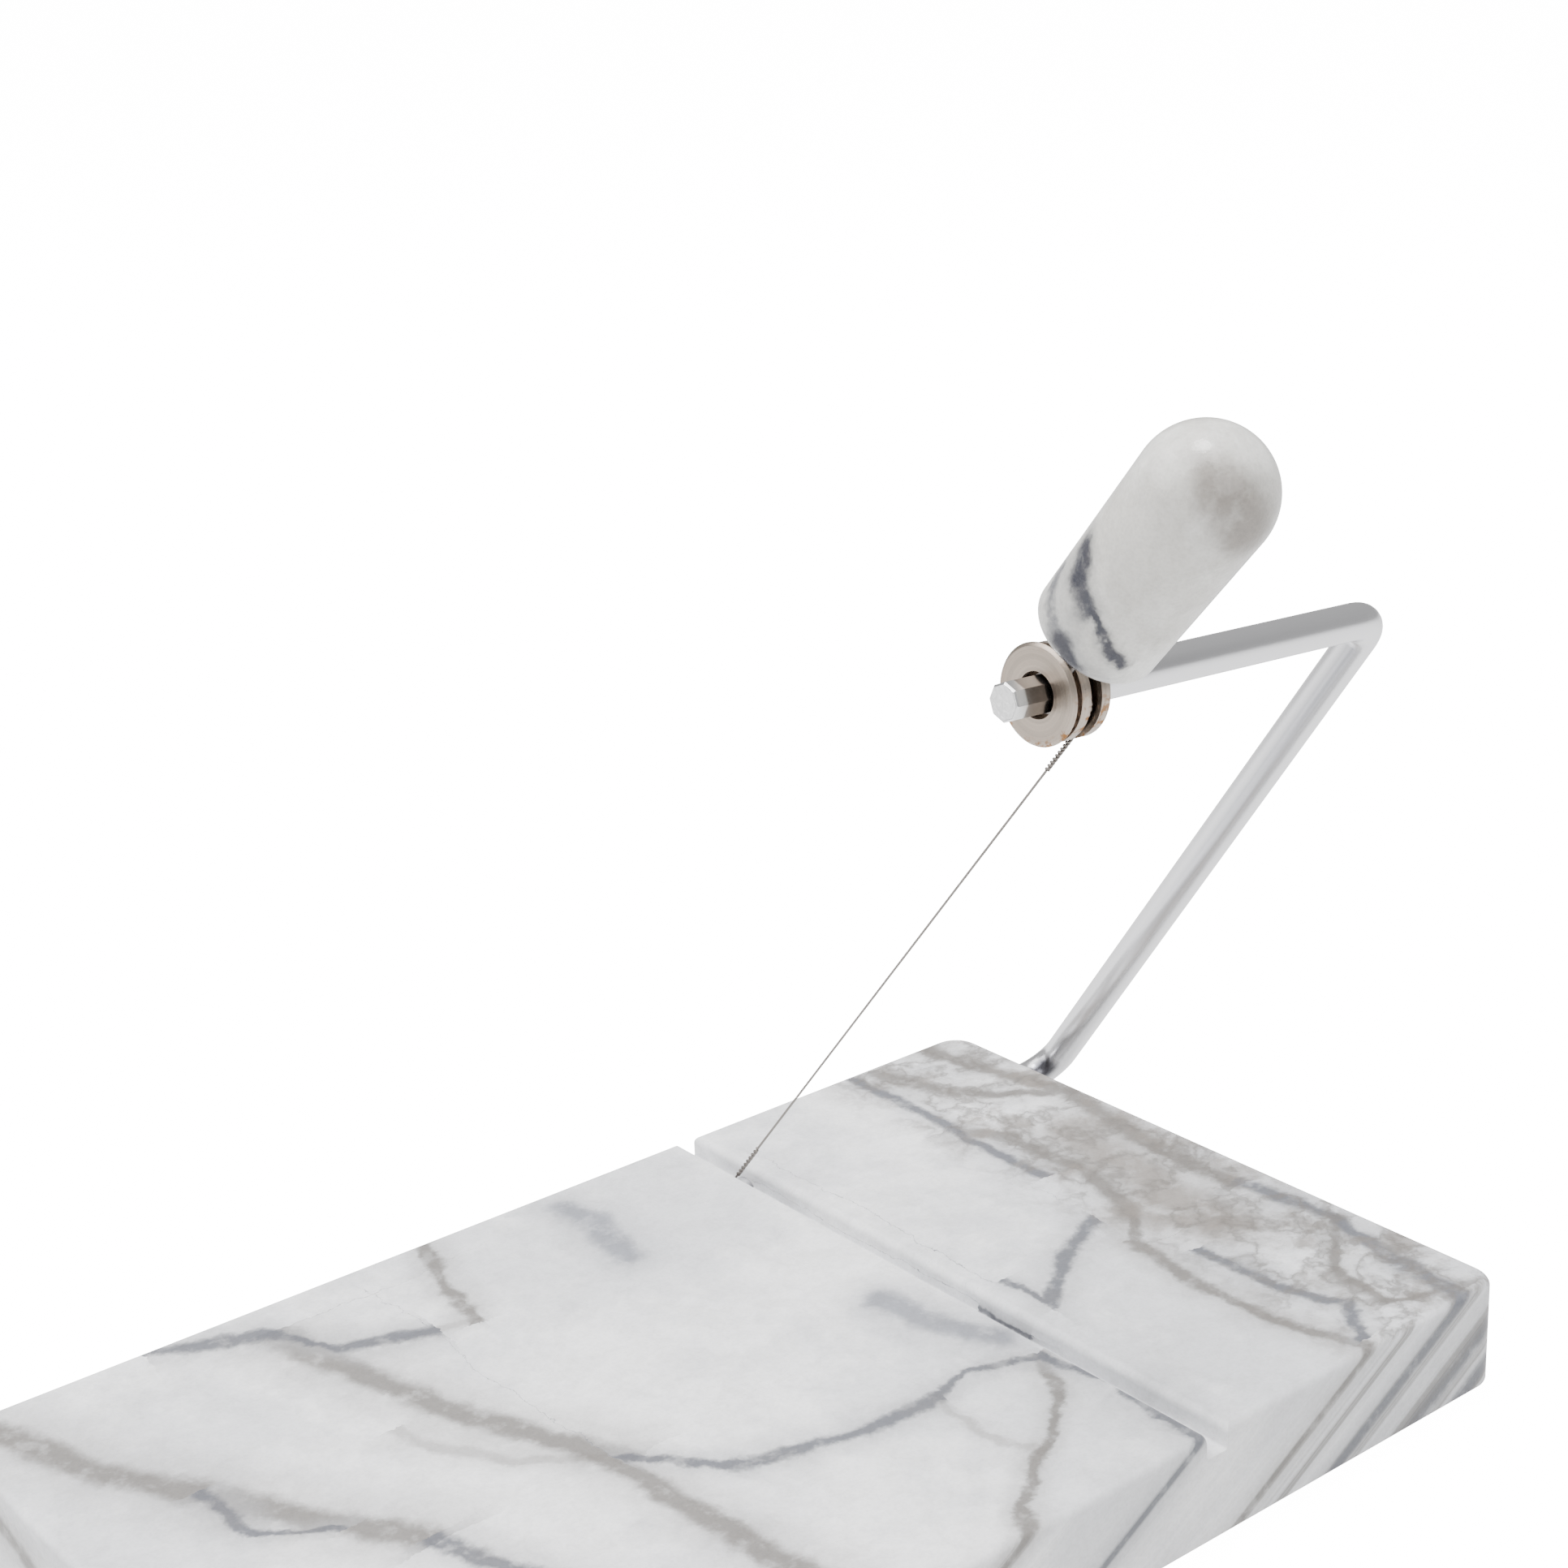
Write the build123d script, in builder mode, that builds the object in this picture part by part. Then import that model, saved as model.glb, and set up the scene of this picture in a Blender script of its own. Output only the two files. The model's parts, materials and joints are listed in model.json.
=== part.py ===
"""Marble cheese slicer: a slotted board with a hinged wire bow.

The frame is in millimetres. The origin is the centre of the board's underside, +X points
towards the end that the bow is hinged in, +Y towards the long edge beside the hinge, and +Z up.
"""
import os
from math import asin, atan2, cos, degrees, hypot, radians, sin, tan

from build123d import *

os.makedirs("parts", exist_ok=True)

# Board
BOARD_L, BOARD_W, BOARD_T = 203.0, 127.0, 18.0
BOARD_CORNER_R = 5.0
BOARD_TOP_R = 1.2
BOARD_BOTTOM_R = 0.8
SLOT_FROM_END = 65.1
SLOT_W, SLOT_D = 4.3, 3.7
SLOT_EASE_R = 1.4
SLOT_FLOOR_R = 0.3
WELL_D = 4.0
WELL_OFFSET = 1.4
WELL_BELOW_AXIS = 1.0

# Feet
FOOT_D, FOOT_T = 12.7, 2.4
FOOT_EDGE_R = 0.8
FOOT_INSET = 17.0

# Bow: one bent rod. The pivot leg lies in the board, the arm stands outside its end, and the top
# leg comes back over the board to the slot.
ROD_D = 5.9
RUN_CLEARANCE = 0.05
PIVOT_FROM_EDGE = 14.8
PIVOT_DEPTH = 5.6
LEG_PAST_SLOT, BORE_PAST_LEG = 3.2, 0.6
ARM_OFFSET = 9.7
ARM_LEN = 132.1
ARM_ANGLE = 53.1
ARM_LEAN = 2.5
TOP_RISE, TOP_TWIST = 3.9, 0.9
LOWER_BEND_R, UPPER_BEND_R = 6.5, 5.6
TIP_FLATS = 8
TIP_ACROSS_FLATS = 5.4
TIP_FLAT_LEN = 8.2
TIP_CHAMFER = 0.35
EYE_GROOVE_D, EYE_GROOVE_W = 0.7, 0.8
CUTTER_R = 3.6

# Tension wheel, from its front face backwards
WHEEL_D = 14.8
WHEEL_BEVEL, WHEEL_BEVEL_DEPTH = 0.5, 0.4
REAR_CHAMFER = 0.3
FLANGE_T, RELIEF_W, RIM_T, WIRE_GROOVE_W, REAR_T = 0.6, 1.2, 1.8, 2.1, 2.0
RELIEF_FLOOR_R, WIRE_FLOOR_R = 6.1, 4.8
RIM_R, REAR_R = 7.1, 7.1
WHEEL_RECESS_R, WHEEL_RECESS_DEPTH = 3.4, 1.9
TIP_PROUD = 6.4

# Handle, screwed into the rim of the wheel
HANDLE_ANGLE = 50.4
STUD_D = 3.0
STUD_BACK = 2.4
STUD_TIP_GAP, STUD_CHAMFER = 0.35, 0.3
STUD_IN_HANDLE = 14.0
SOCKET_D, SOCKET_DEPTH = 5.0, 15.5
EPOXY_SHY = 0.4
HANDLE_START = 12.0
HANDLE_END = 51.1
HANDLE_LOW_R, HANDLE_TOP_R = 9.05, 9.75
HANDLE_EDGE_R = 2.2

# Cutting wire
WIRE_D = 0.4
TWIST_R = 0.215
EYE_WRAP = 315.0
LOWER_LEAD, LOWER_TWIST_LEN, LOWER_PITCH = 4.0, 9.2, 2.3
UPPER_TWIST_LEN, UPPER_PITCH = 11.2, 1.6
WIRE_GAP = 0.02
LOOP_GAP = 0.3

ROD_R, WIRE_R = ROD_D / 2, WIRE_D / 2
WHEEL_T = FLANGE_T + RELIEF_W + RIM_T + WIRE_GROOVE_W + REAR_T
GROOVE_BACK = FLANGE_T + RELIEF_W + RIM_T + WIRE_GROOVE_W / 2

# Places
END_X = BOARD_L / 2
SLOT_X = END_X - SLOT_FROM_END
PIVOT_Y = BOARD_W / 2 - PIVOT_FROM_EDGE
PIVOT_Z = BOARD_T - PIVOT_DEPTH
LEG_END_X = SLOT_X - LEG_PAST_SLOT
ARM_X = END_X + ARM_OFFSET
TOP_X = ARM_X - ARM_LEN * sin(radians(ARM_LEAN))
TOP_REACH = ARM_LEN * cos(radians(ARM_LEAN))
# Planes. The bow's plane has its origin on the pivot axis, x along the axis and y up the arm.
ANGLE = radians(ARM_ANGLE)
bow_plane = Plane(origin=(0, PIVOT_Y, PIVOT_Z), x_dir=(1, 0, 0), z_dir=(0, -sin(ANGLE), -cos(ANGLE)))

# The top leg's direction away from the corner, in the bow's plane: it rises a little and leaves the plane.
top_dir = Vector(-1, tan(radians(TOP_RISE)), -tan(radians(TOP_TWIST))).normalized()
GROOVE_RUN = (TOP_X - SLOT_X) / -top_dir.X
FRONT_RUN = GROOVE_RUN + GROOVE_BACK
TIP_RUN = FRONT_RUN + TIP_PROUD


def on_top_leg(run: float) -> Vector:
    """A point on the top leg's axis, at a distance from the corner."""
    return bow_plane.from_local_coords(Vector(TOP_X, TOP_REACH) + top_dir * run)


corner = on_top_leg(0)
front = on_top_leg(FRONT_RUN)
back_dir = (corner - front).normalized()
handle_lean = Vector(0, -cos(radians(HANDLE_ANGLE)), sin(radians(HANDLE_ANGLE)))
# The wheel's plane has its origin in the wheel's front face, x along its axis and y up the handle.
wheel_plane = Plane(origin=front, x_dir=back_dir, z_dir=back_dir.cross(handle_lean))
wheel_axis = Axis(wheel_plane.origin, wheel_plane.x_dir)
handle_foot = wheel_plane.from_local_coords(Vector(STUD_BACK, 0))
handle_plane = Plane(origin=handle_foot, x_dir=wheel_plane.x_dir, z_dir=wheel_plane.y_dir)
handle_axis = Axis(handle_foot, wheel_plane.y_dir)

# The wire leaves the far side of the pivot and meets the near side of the wheel's groove.
EYE_R = ROD_R - EYE_GROOVE_D + WIRE_R + WIRE_GAP
LOOP_R = WIRE_FLOOR_R + WIRE_R + LOOP_GAP
TWIST_OFFSET = LOOP_R + WIRE_R + TWIST_R + WIRE_R + WIRE_GAP
eye_centre = Vector(SLOT_X, PIVOT_Y, PIVOT_Z)
reach = on_top_leg(GROOVE_RUN) - eye_centre
WHEEL_REACH = hypot(reach.Y, reach.Z)
WIRE_SWING = asin((EYE_R + TWIST_OFFSET) / WHEEL_REACH)
WIRE_ANGLE = atan2(reach.Z, -reach.Y) - WIRE_SWING
WIRE_LEN = WHEEL_REACH * cos(WIRE_SWING)
wire_dir = Vector(0, -cos(WIRE_ANGLE), sin(WIRE_ANGLE))
wire_out = Vector(0, sin(WIRE_ANGLE), cos(WIRE_ANGLE))
# The eye's plane has its origin on the pivot axis, x along the wire and y out to the wire's line.
eye_plane = Plane(origin=eye_centre, x_dir=wire_dir, z_dir=(-1, 0, 0))
wire_start = eye_centre + wire_out * EYE_R


def wire_plane(distance: float) -> Plane:
    """A plane square to the cutting wire, at a distance from the place where it leaves the eye."""
    return Plane(origin=wire_start + wire_dir * distance, x_dir=(1, 0, 0), z_dir=wire_dir)


def save(name: str, part: Part) -> None:
    """Label a finished piece and write its STEP file."""
    part.label = name
    export_step(part, f"parts/{name}.step")


def make_board() -> Part:
    """The marble slab, with the slot for the wire and the bore for the bow's pivot leg."""
    with BuildPart() as board:
        with BuildSketch():
            RectangleRounded(BOARD_L, BOARD_W, BOARD_CORNER_R)
        extrude(amount=BOARD_T)
        fillet(board.faces().sort_by(Axis.Z)[-1].edges(), BOARD_TOP_R)
        fillet(board.faces().sort_by(Axis.Z)[0].edges(), BOARD_BOTTOM_R)
        floor, left, right = BOARD_T - SLOT_D, SLOT_X - SLOT_W / 2, SLOT_X + SLOT_W / 2
        brow, over = right + SLOT_EASE_R, BOARD_T + SLOT_D
        with BuildSketch(Plane.XZ.offset(-BOARD_W)):
            with BuildLine():
                Polyline(
                    (brow, BOARD_T), (brow, over), (left, over), (left, floor + SLOT_FLOOR_R))
                RadiusArc((left, floor + SLOT_FLOOR_R), (left + SLOT_FLOOR_R, floor), -SLOT_FLOOR_R)
                Line((left + SLOT_FLOOR_R, floor), (right - SLOT_FLOOR_R, floor))
                RadiusArc((right - SLOT_FLOOR_R, floor), (right, floor + SLOT_FLOOR_R), -SLOT_FLOOR_R)
                Line((right, floor + SLOT_FLOOR_R), (right, BOARD_T - SLOT_EASE_R))
                RadiusArc((right, BOARD_T - SLOT_EASE_R), (brow, BOARD_T), SLOT_EASE_R)
            make_face()
        extrude(amount=2 * BOARD_W, mode=Mode.SUBTRACT)
        with BuildSketch(Plane(origin=(LEG_END_X - BORE_PAST_LEG, PIVOT_Y, PIVOT_Z), z_dir=(1, 0, 0))):
            Circle(ROD_R + RUN_CLEARANCE)
        extrude(amount=BOARD_L, mode=Mode.SUBTRACT)
        with BuildSketch(Plane.XY.offset(PIVOT_Z - WELL_BELOW_AXIS)):
            with Locations((SLOT_X, PIVOT_Y + WELL_OFFSET)):
                Circle(WELL_D / 2)
        extrude(amount=BOARD_T, mode=Mode.SUBTRACT)
    return board.part


def make_foot(x: float, y: float) -> Part:
    """A soft stick-on foot, slightly domed at its rim."""
    with BuildPart() as foot:
        with BuildSketch(Plane.XY.offset(-FOOT_T)):
            with Locations((x, y)):
                Circle(FOOT_D / 2)
        extrude(amount=FOOT_T)
        fillet(foot.edges().sort_by(Axis.Z)[0], FOOT_EDGE_R)
    return foot.part


def make_bow() -> Part:
    """The bent rod: pivot leg, arm and top leg, with a faceted tip and a groove for the wire's eye."""
    with BuildPart() as bow:
        with BuildLine() as path:
            FilletPolyline(
                (LEG_END_X, PIVOT_Y, PIVOT_Z), (ARM_X, PIVOT_Y, PIVOT_Z), corner, on_top_leg(TIP_RUN),
                radius=[LOWER_BEND_R, UPPER_BEND_R])
        with BuildSketch(Plane(origin=path.line @ 0, z_dir=path.line % 0)):
            Circle(ROD_R)
        sweep()
        tip_plane = Plane(origin=path.line @ 1, z_dir=-(path.line % 1))
        with BuildSketch(tip_plane):
            Circle(CUTTER_R)
            RegularPolygon(TIP_ACROSS_FLATS / 2, TIP_FLATS, major_radius=False, mode=Mode.SUBTRACT)
        extrude(amount=TIP_FLAT_LEN, mode=Mode.SUBTRACT)
        tip_face = bow.faces().sort_by_distance(tip_plane.origin)[0]
        chamfer(tip_face.edges(), TIP_CHAMFER)
        with BuildSketch(Plane(origin=eye_centre - Vector(EYE_GROOVE_W / 2, 0, 0), z_dir=(1, 0, 0))):
            Circle(CUTTER_R)
            Circle(ROD_R - EYE_GROOVE_D, mode=Mode.SUBTRACT)
        extrude(amount=EYE_GROOVE_W, mode=Mode.SUBTRACT)
    return bow.part


def make_wheel() -> Part:
    """The turned tension wheel: a front flange, a relief, a rim, the wire's groove and a rear flange."""
    relief_x = FLANGE_T + RELIEF_W
    groove_x = relief_x + RIM_T
    rear_x = groove_x + WIRE_GROOVE_W
    bore_r, rim = ROD_R + RUN_CLEARANCE, WHEEL_D / 2
    with BuildPart() as wheel:
        with BuildSketch(wheel_plane):
            with BuildLine():
                Polyline(
                    (0, WHEEL_RECESS_R), (0, rim - WHEEL_BEVEL), (WHEEL_BEVEL_DEPTH, rim), (FLANGE_T, rim),
                    (FLANGE_T, RELIEF_FLOOR_R), (relief_x, RELIEF_FLOOR_R), (relief_x, RIM_R),
                    (groove_x, RIM_R), (groove_x, WIRE_FLOOR_R), (rear_x, WIRE_FLOOR_R),
                    (rear_x, REAR_R), (WHEEL_T, REAR_R), (WHEEL_T, bore_r),
                    (WHEEL_RECESS_DEPTH, bore_r), (WHEEL_RECESS_DEPTH, WHEEL_RECESS_R),
                    close=True)
            make_face()
        revolve(axis=wheel_axis)
        chamfer(wheel.edges().sort_by(wheel_axis)[-2:], REAR_CHAMFER)
        with BuildSketch(handle_plane):
            Circle(STUD_D / 2 + RUN_CLEARANCE)
        extrude(amount=WHEEL_D, mode=Mode.SUBTRACT)
    return wheel.part


def make_handle() -> Part:
    """The marble handle: a slightly flared bar with a round outer end and a blind socket."""
    dome_y = HANDLE_END - HANDLE_TOP_R
    with BuildPart() as handle:
        with BuildSketch(wheel_plane):
            with BuildLine():
                Polyline(
                    (STUD_BACK, HANDLE_END), (STUD_BACK, HANDLE_START),
                    (STUD_BACK + HANDLE_LOW_R, HANDLE_START), (STUD_BACK + HANDLE_TOP_R, dome_y))
                CenterArc((STUD_BACK, dome_y), HANDLE_TOP_R, 0, 90)
            make_face()
        revolve(axis=handle_axis)
        fillet(handle.edges().sort_by(handle_axis)[0], HANDLE_EDGE_R)
        with BuildSketch(handle_plane.offset(HANDLE_START)):
            Circle(SOCKET_D / 2)
        extrude(amount=SOCKET_DEPTH, mode=Mode.SUBTRACT)
    return handle.part


def make_stud() -> Part:
    """The threaded stud that screws through the wheel and clamps it on the rod."""
    start = ROD_R + STUD_TIP_GAP
    with BuildPart() as stud:
        with BuildSketch(handle_plane.offset(start)):
            Circle(STUD_D / 2)
        extrude(amount=HANDLE_START + STUD_IN_HANDLE - start)
        chamfer(stud.edges().sort_by(handle_axis)[0], STUD_CHAMFER)
    return stud.part


def make_epoxy() -> Part:
    """The epoxy that bonds the stud into the handle's socket."""
    with BuildPart() as epoxy:
        with BuildSketch(handle_plane.offset(HANDLE_START + EPOXY_SHY)):
            Circle(SOCKET_D / 2)
        extrude(amount=SOCKET_DEPTH - EPOXY_SHY)
        with BuildSketch(handle_plane.offset(HANDLE_START)):
            Circle(STUD_D / 2)
        extrude(amount=STUD_IN_HANDLE, mode=Mode.SUBTRACT)
    return epoxy.part


def make_loop() -> Part:
    """The closed turn of the wire in the tension wheel's groove."""
    with BuildPart() as loop:
        with BuildSketch(wheel_plane):
            with Locations((GROOVE_BACK, LOOP_R)):
                Circle(WIRE_R)
        revolve(axis=wheel_axis)
    return loop.part


def make_eye() -> Part:
    """The wire's hooked end: most of a turn round the pivot leg and the straight that leaves it."""
    with BuildPart() as eye:
        with BuildLine(eye_plane) as path:
            Line((LOWER_LEAD - WIRE_GAP, EYE_R), (0, EYE_R))
            CenterArc((0, 0), EYE_R, 90, EYE_WRAP)
        with BuildSketch(Plane(origin=path.line @ 0, z_dir=path.line % 0)):
            Circle(WIRE_R)
        sweep()
    return eye.part


def make_run(start: float, length: float) -> Part:
    """A straight run of the wire."""
    with BuildPart() as run:
        with BuildSketch(wire_plane(start)):
            Circle(WIRE_R)
        extrude(amount=length)
    return run.part


def make_strand(start: float, length: float, pitch: float, phase: float) -> Part:
    """One of the two strands of a twisted stretch, as a helix about the wire's line."""
    base = wire_plane(start)
    with BuildPart() as strand:
        with BuildLine() as path:
            Helix(pitch, length, TWIST_R, center=base.origin, direction=base.z_dir)
        with BuildSketch(Plane(origin=path.line @ 0, z_dir=path.line % 0)):
            Circle(WIRE_R)
        sweep(is_frenet=True)
    return strand.part.rotate(Axis(base.origin, base.z_dir), phase)


save("board", make_board())
FOOT_X, FOOT_Y = BOARD_L / 2 - FOOT_INSET, BOARD_W / 2 - FOOT_INSET
for number, (side_x, side_y) in enumerate([(-1, -1), (1, -1), (1, 1), (-1, 1)], start=1):
    save(f"foot_{number}", make_foot(side_x * FOOT_X, side_y * FOOT_Y))
save("bow_rod", make_bow())
save("tension_wheel", make_wheel())
save("handle", make_handle())
save("handle_stud", make_stud())
save("handle_epoxy", make_epoxy())

# The wire, from the eye round the pivot leg to the loop round the wheel
lower_end = LOWER_LEAD + LOWER_TWIST_LEN + WIRE_GAP
upper_start = WIRE_LEN - UPPER_TWIST_LEN
save("wire_eye", make_eye())
save("wire_lower_strand_1", make_strand(LOWER_LEAD, LOWER_TWIST_LEN, LOWER_PITCH, 0))
save("wire_lower_strand_2", make_strand(LOWER_LEAD, LOWER_TWIST_LEN, LOWER_PITCH, 180))
save("wire_span", make_run(lower_end, upper_start - lower_end - WIRE_GAP))
save("wire_upper_strand_1", make_strand(upper_start, UPPER_TWIST_LEN, UPPER_PITCH, 0))
save("wire_upper_strand_2", make_strand(upper_start, UPPER_TWIST_LEN, UPPER_PITCH, 180))
save("wire_loop", make_loop())

print("pivot", PIVOT_Y, PIVOT_Z, "slot x", SLOT_X, "arm x", ARM_X)
print("groove", on_top_leg(GROOVE_RUN), "front", front, "axis", back_dir, "handle", handle_foot, wheel_plane.y_dir)
print("wire angle", degrees(WIRE_ANGLE), "swing", degrees(WIRE_SWING), "length", WIRE_LEN)
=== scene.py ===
"""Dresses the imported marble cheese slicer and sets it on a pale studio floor.

Lengths are in metres in the model's own frame: +X towards the end that the bow is hinged in, +Z up.
"""

import json
import logging
import math
from dataclasses import dataclass, field
from enum import Enum

import bpy
from mathutils import Matrix, Vector


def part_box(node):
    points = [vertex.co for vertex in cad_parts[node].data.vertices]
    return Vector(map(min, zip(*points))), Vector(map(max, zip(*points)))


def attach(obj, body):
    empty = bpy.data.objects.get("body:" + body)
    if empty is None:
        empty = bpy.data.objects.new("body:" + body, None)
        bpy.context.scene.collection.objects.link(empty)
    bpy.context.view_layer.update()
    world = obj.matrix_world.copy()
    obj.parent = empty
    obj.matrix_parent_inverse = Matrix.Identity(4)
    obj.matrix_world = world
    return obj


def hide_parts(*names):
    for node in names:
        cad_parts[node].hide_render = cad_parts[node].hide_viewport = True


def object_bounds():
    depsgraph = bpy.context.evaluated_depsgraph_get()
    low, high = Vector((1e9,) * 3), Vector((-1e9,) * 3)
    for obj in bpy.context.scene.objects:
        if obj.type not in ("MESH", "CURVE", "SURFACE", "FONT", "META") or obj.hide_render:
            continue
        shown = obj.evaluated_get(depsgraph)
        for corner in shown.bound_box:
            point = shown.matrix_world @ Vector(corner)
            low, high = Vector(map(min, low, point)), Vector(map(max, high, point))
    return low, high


log = logging.getLogger("slicer")
MM = 0.001
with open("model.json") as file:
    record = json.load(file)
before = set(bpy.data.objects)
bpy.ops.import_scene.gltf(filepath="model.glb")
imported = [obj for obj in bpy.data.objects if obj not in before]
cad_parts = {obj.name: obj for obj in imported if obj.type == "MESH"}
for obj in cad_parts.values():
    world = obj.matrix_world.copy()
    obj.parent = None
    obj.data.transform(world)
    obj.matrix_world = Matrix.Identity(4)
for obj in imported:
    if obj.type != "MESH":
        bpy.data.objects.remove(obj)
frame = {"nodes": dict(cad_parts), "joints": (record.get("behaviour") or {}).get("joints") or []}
CAD_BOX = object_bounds()

Colour = tuple[float, float, float]
Socket = bpy.types.NodeSocket


@dataclass(frozen=True)
class VeinTone:
    """How one family of veins looks.

    Attributes:
        colour: The colour of the core.
        core: How far the core goes to the colour, from 0 to 1.
        shade: How strong the pale shade round the core is, from 0 to 1.
        reach: Width of that shade, as a multiple of the core's.
    """

    colour: Colour
    core: float
    shade: float
    reach: float


class Tone(Enum):
    """The families that the stone's veins come in."""

    SMOKE = VeinTone((0.170, 0.180, 0.215), 0.75, 0.60, 2.6)
    EARTH = VeinTone((0.210, 0.185, 0.165), 0.80, 0.60, 2.0)
    FAINT = VeinTone((0.300, 0.290, 0.285), 0.60, 0.40, 3.4)
    TAUPE = VeinTone((0.150, 0.138, 0.128), 0.86, 0.60, 3.3)
    SLATE = VeinTone((0.105, 0.110, 0.130), 0.90, 0.55, 3.6)
    INK = VeinTone((0.022, 0.024, 0.038), 0.97, 0.75, 1.8)


@dataclass(frozen=True)
class Vein:
    """A vein, or a soft smudge, along a run of points.

    Attributes:
        points: The run, in millimetres, in the stone's own directions.
        width: Half width of the core, in millimetres.
        tone: The family.
    """

    points: tuple[tuple[float, ...], ...]
    width: float
    tone: Tone


class Wiring:
    """Short ways to add and join shader nodes in one node tree."""

    def __init__(self, tree: bpy.types.NodeTree) -> None:
        """Keep the tree.

        Args:
            tree: The material's or group's node tree.
        """
        self.tree = tree

    def add(self, kind: str, **settings: object) -> bpy.types.Node:
        """Add a node and set its properties.

        Args:
            kind: The node's type name.
            settings: Property names and values.

        Returns:
            The new node.
        """
        node = self.tree.nodes.new(kind)
        for name, value in settings.items():
            setattr(node, name, value)
        return node

    def feed(self, target: Socket, source: object) -> None:
        """Join a socket to an input, or set the input to a plain value.

        Args:
            target: The input socket.
            source: An output socket, a number, a vector or a colour.
        """
        if isinstance(source, bpy.types.NodeSocket):
            self.tree.links.new(source, target)
        elif target.type == "RGBA" and len(source) == 3:
            target.default_value = (*source, 1.0)
        else:
            target.default_value = source

    def maths(self, operation: str, *values: object, clamp: bool = False) -> Socket:
        """Add a maths node.

        Args:
            operation: Blender's name of the operation.
            values: The operands, as sockets or numbers.
            clamp: Whether the result stays between 0 and 1.

        Returns:
            The result's socket.
        """
        node = self.add("ShaderNodeMath", operation=operation, use_clamp=clamp)
        for target, value in zip(node.inputs, values):
            self.feed(target, value)
        return node.outputs[0]

    def vector(self, operation: str, *values: object) -> bpy.types.Node:
        """Add a vector maths node.

        Args:
            operation: Blender's name of the operation.
            values: The operands, as sockets or vectors.

        Returns:
            The node, whose Vector or Value output holds the result.
        """
        node = self.add("ShaderNodeVectorMath", operation=operation)
        for target, value in zip(node.inputs, values):
            self.feed(target, value)
        return node

    def scaled(self, vector: Socket, factor: object) -> Socket:
        """Scale a vector by a number.

        Args:
            vector: The vector's socket.
            factor: A socket or a number.

        Returns:
            The scaled vector's socket.
        """
        node = self.add("ShaderNodeVectorMath", operation="SCALE")
        self.feed(node.inputs["Vector"], vector)
        self.feed(node.inputs["Scale"], factor)
        return node.outputs["Vector"]

    def blend(self, factor: object, first: object, second: object, mode: str = "MIX") -> Socket:
        """Mix two colours.

        Args:
            factor: The share of the second colour.
            first: The first colour.
            second: The second colour.
            mode: Blender's name of the blend.

        Returns:
            The mixed colour's socket.
        """
        node = self.add("ShaderNodeMix", data_type="RGBA", blend_type=mode, clamp_factor=True)
        self.feed(node.inputs["Factor"], factor)
        colours = [one for one in node.inputs if one.type == "RGBA"]
        self.feed(colours[0], first)
        self.feed(colours[1], second)
        return [one for one in node.outputs if one.type == "RGBA"][0]

    def noise(self, vector: object, scale: object, detail: float = 3.0, rough: float = 0.5) -> bpy.types.Node:
        """Add a three-dimensional noise.

        Args:
            vector: Where the noise is read.
            scale: Features per metre.
            detail: Octaves.
            rough: How strong the small octaves are.

        Returns:
            The noise node, with Fac and Color outputs.
        """
        node = self.add("ShaderNodeTexNoise")
        self.feed(node.inputs["Vector"], vector)
        self.feed(node.inputs["Scale"], scale)
        node.inputs["Detail"].default_value = detail
        node.inputs["Roughness"].default_value = rough
        return node

    def ramp(
            self, value: object, low: object, high: object, to_low: float = 0.0,
            to_high: float = 1.0) -> Socket:
        """Carry a value smoothly from one range to another, and hold it beyond the ends.

        Args:
            value: The value.
            low: Where the result is to_low.
            high: Where the result is to_high.
            to_low: The result at low.
            to_high: The result at high.

        Returns:
            The result's socket.
        """
        node = self.add("ShaderNodeMapRange", interpolation_type="SMOOTHSTEP")
        for name, part in (("Value", value), ("From Min", low), ("From Max", high)):
            self.feed(node.inputs[name], part)
        node.inputs["To Min"].default_value = to_low
        node.inputs["To Max"].default_value = to_high
        return node.outputs["Result"]

    def place(self, group: bpy.types.NodeTree, **inputs: object) -> bpy.types.Node:
        """Place a node group.

        Args:
            group: The group.
            inputs: Its input names, with underscores for spaces, and their values.

        Returns:
            The group node.
        """
        node = self.add("ShaderNodeGroup")
        node.node_tree = group
        for name, value in inputs.items():
            self.feed(node.inputs[name.replace("_", " ")], value)
        return node


class EffectGroup:
    """A shader node group with named inputs and outputs, built once."""

    title = "effect"
    takes: tuple[tuple[str, str], ...] = ()
    gives: tuple[tuple[str, str], ...] = ()

    def __init__(self) -> None:
        """Make the group's sockets and fill it."""
        self.tree = bpy.data.node_groups.new(self.title, "ShaderNodeTree")
        for name, kind in self.takes:
            self.tree.interface.new_socket(name=name, in_out="INPUT", socket_type=f"NodeSocket{kind}")
        for name, kind in self.gives:
            self.tree.interface.new_socket(name=name, in_out="OUTPUT", socket_type=f"NodeSocket{kind}")
        wires = Wiring(self.tree)
        entry = wires.add("NodeGroupInput").outputs
        leave = wires.add("NodeGroupOutput").inputs
        self.fill(wires, entry, leave)

    def fill(self, wires: Wiring, entry: object, leave: object) -> None:
        """Build the effect between the group's inputs and outputs.

        Args:
            wires: The group's wiring.
            entry: The group's input sockets.
            leave: The group's output sockets.
        """
        raise NotImplementedError


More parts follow.
